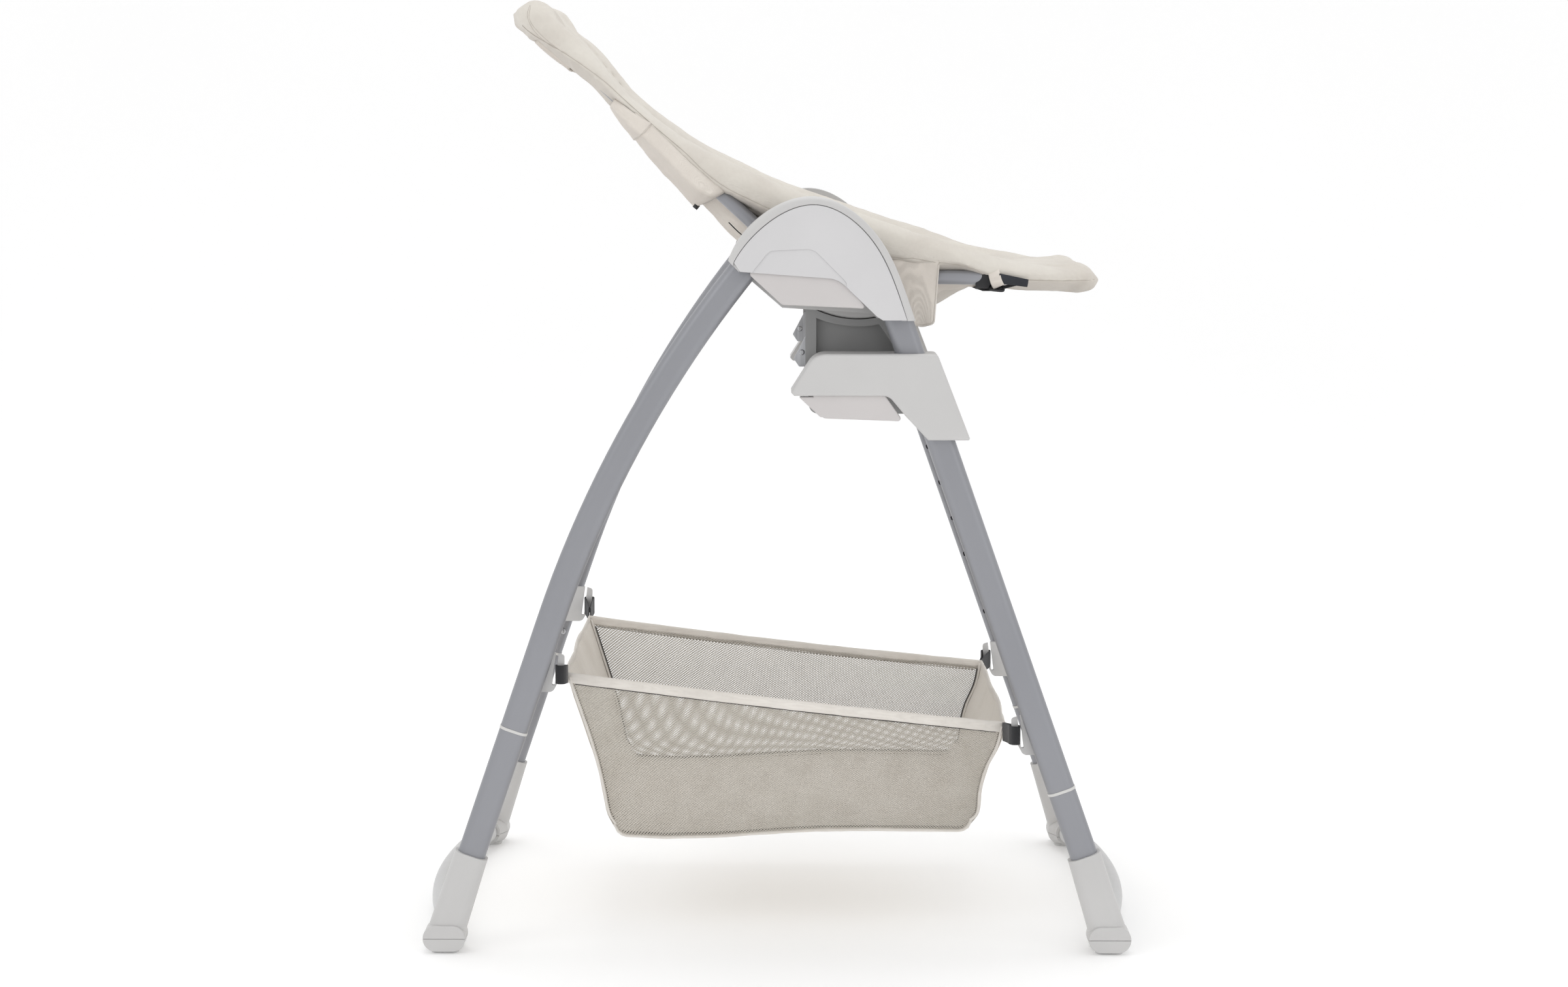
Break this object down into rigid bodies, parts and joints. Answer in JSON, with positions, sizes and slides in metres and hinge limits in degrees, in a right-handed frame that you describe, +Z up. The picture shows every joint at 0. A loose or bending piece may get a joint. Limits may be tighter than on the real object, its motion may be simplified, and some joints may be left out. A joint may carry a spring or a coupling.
{
  "type": "bouncer seat",
  "caption": "Newborn bouncer seat with padded fabric cover on a folding A-frame stand with sliding height carriages and a mesh storage basket.",
  "frame": {"origin": "on the floor at the centre of the stand, between the four shoes", "axes": "+Z up, +X towards the child's feet, +Y towards the child's left"},
  "size_m": [0.8198, 0.616, 1.0561],
  "materials": {
    "frame_paint": "satin powder coat",
    "cross_paint": "satin powder coat",
    "shell_plastic": "fine spark-eroded texture",
    "cover_plastic": "fine satin texture",
    "lever_plastic": "fine satin texture",
    "ring_plastic": "smooth",
    "glide_rubber": "matt",
    "carrier_plastic": "fine texture",
    "zinc_steel": "zinc plated",
    "spring_steel": "oiled",
    "seat_fabric": "soft woven cotton",
    "flap_fabric": "soft woven cotton, shaded side",
    "basket_fabric": "woven ends and open diamond mesh sides",
    "black_webbing": "ribbed webbing",
    "black_plastic": "matt",
    "label_fabric": "flat woven, blank"
  },
  "bodies": {
    "front_frame": {"front_leg_left": "frame_paint", "front_leg_right": "frame_paint", "front_lower_tubes": "frame_paint", "front_joint_rings": "ring_plastic", "front_cross_tube": "cross_paint", "front_shoe_left": "shell_plastic", "front_shoe_right": "shell_plastic", "front_soles": "shell_plastic", "front_glides": "glide_rubber", "hub_inner_left": "shell_plastic", "hub_inner_right": "shell_plastic", "hub_cover_left": "cover_plastic", "hub_cover_right": "cover_plastic", "fold_pins": "zinc_steel", "basket": "basket_fabric", "front_basket_clips": "shell_plastic", "front_basket_straps": "black_webbing", "fold_spring_left": "spring_steel", "fold_spring_right": "spring_steel"},
    "rear_frame": {"rear_leg_left": "frame_paint", "rear_leg_right": "frame_paint", "rear_lower_tubes": "frame_paint", "rear_joint_rings": "ring_plastic", "rear_cross_tube": "cross_paint", "rear_shoe_left": "shell_plastic", "rear_shoe_right": "shell_plastic", "rear_soles": "shell_plastic", "rear_glides": "glide_rubber", "rear_knuckles": "black_plastic", "rear_basket_clips": "shell_plastic", "rear_basket_straps": "black_webbing", "rear_leg_buttons": "zinc_steel"},
    "carrier": {"carriage_left": "shell_plastic", "carriage_right": "shell_plastic", "seat_base": "carrier_plastic", "side_frames": "carrier_plastic", "gussets": "zinc_steel", "carrier_rivets": "zinc_steel", "height_spring_left": "spring_steel", "height_spring_right": "spring_steel"},
    "seat": {"adapters": "shell_plastic", "back_tube": "frame_paint", "foot_tube": "frame_paint", "seat_pad": "seat_fabric", "back_flap": "flap_fabric", "belly_sling": "flap_fabric", "side_flaps": "flap_fabric", "leg_webbing": "black_webbing", "webbing_buckle": "black_plastic", "label_tab": "label_fabric", "harness_straps": "black_webbing", "harness_buckle": "black_plastic"},
    "fold_lever_left": {"fold_lever_left": "lever_plastic"},
    "fold_bolt_left": {"fold_bolt_left": "zinc_steel"},
    "height_grip_left": {"height_grip_left": "lever_plastic"},
    "height_pin_left": {"height_pin_left": "zinc_steel"},
    "fold_lever_right": {"fold_lever_right": "lever_plastic"},
    "fold_bolt_right": {"fold_bolt_right": "zinc_steel"},
    "height_grip_right": {"height_grip_right": "lever_plastic"},
    "height_pin_right": {"height_pin_right": "zinc_steel"}
  },
  "joints": [
    {"name": "frame_fold", "type": "hinge", "parent": "front_frame", "child": "rear_frame", "pos_m": [-0.01, 0, 0.796], "axis": [0, -1, 0], "range_deg": [0, 36], "deforming": ["basket"]},
    {"name": "height_slide", "type": "slide", "parent": "front_frame", "child": "carrier", "axis": [0.3326, 0, -0.9431], "range_m": [0, 0.32]},
    {"name": "seat_recline", "type": "hinge", "parent": "carrier", "child": "seat", "pos_m": [0.088, 0, 0.816], "axis": [0, 1, 0], "range_deg": [-10, 10]},
    {"name": "fold_lever_left", "type": "slide", "parent": "front_frame", "child": "fold_lever_left", "axis": [0, 0, 1], "range_m": [0, 0.008], "stiffness_N_per_m": 600, "springref_m": -0.003, "deforming": ["fold_spring_left"]},
    {"name": "fold_bolt_left", "type": "slide", "parent": "front_frame", "child": "fold_bolt_left", "axis": [1, 0, 0], "range_m": [0, 0.006]},
    {"name": "height_grip_left", "type": "slide", "parent": "carrier", "child": "height_grip_left", "axis": [0, 0, 1], "range_m": [0, 0.008], "stiffness_N_per_m": 600, "springref_m": -0.003, "deforming": ["height_spring_left"]},
    {"name": "height_pin_left", "type": "slide", "parent": "carrier", "child": "height_pin_left", "axis": [0, -1, 0], "range_m": [0, 0.0024]},
    {"name": "fold_lever_right", "type": "slide", "parent": "front_frame", "child": "fold_lever_right", "axis": [0, 0, 1], "range_m": [0, 0.008], "stiffness_N_per_m": 600, "springref_m": -0.003, "deforming": ["fold_spring_right"]},
    {"name": "fold_bolt_right", "type": "slide", "parent": "front_frame", "child": "fold_bolt_right", "axis": [1, 0, 0], "range_m": [0, 0.006]},
    {"name": "height_grip_right", "type": "slide", "parent": "carrier", "child": "height_grip_right", "axis": [0, 0, 1], "range_m": [0, 0.008], "stiffness_N_per_m": 600, "springref_m": -0.003, "deforming": ["height_spring_right"]},
    {"name": "height_pin_right", "type": "slide", "parent": "carrier", "child": "height_pin_right", "axis": [0, 1, 0], "range_m": [0, 0.0024]}
  ],
  "couplings": [
    {"joint": "fold_bolt_left", "follows": "fold_lever_left", "ratio": 0.75},
    {"joint": "height_pin_left", "follows": "height_grip_left", "ratio": 0.3},
    {"joint": "fold_bolt_right", "follows": "fold_lever_right", "ratio": 0.75},
    {"joint": "height_pin_right", "follows": "height_grip_right", "ratio": 0.3}
  ]
}
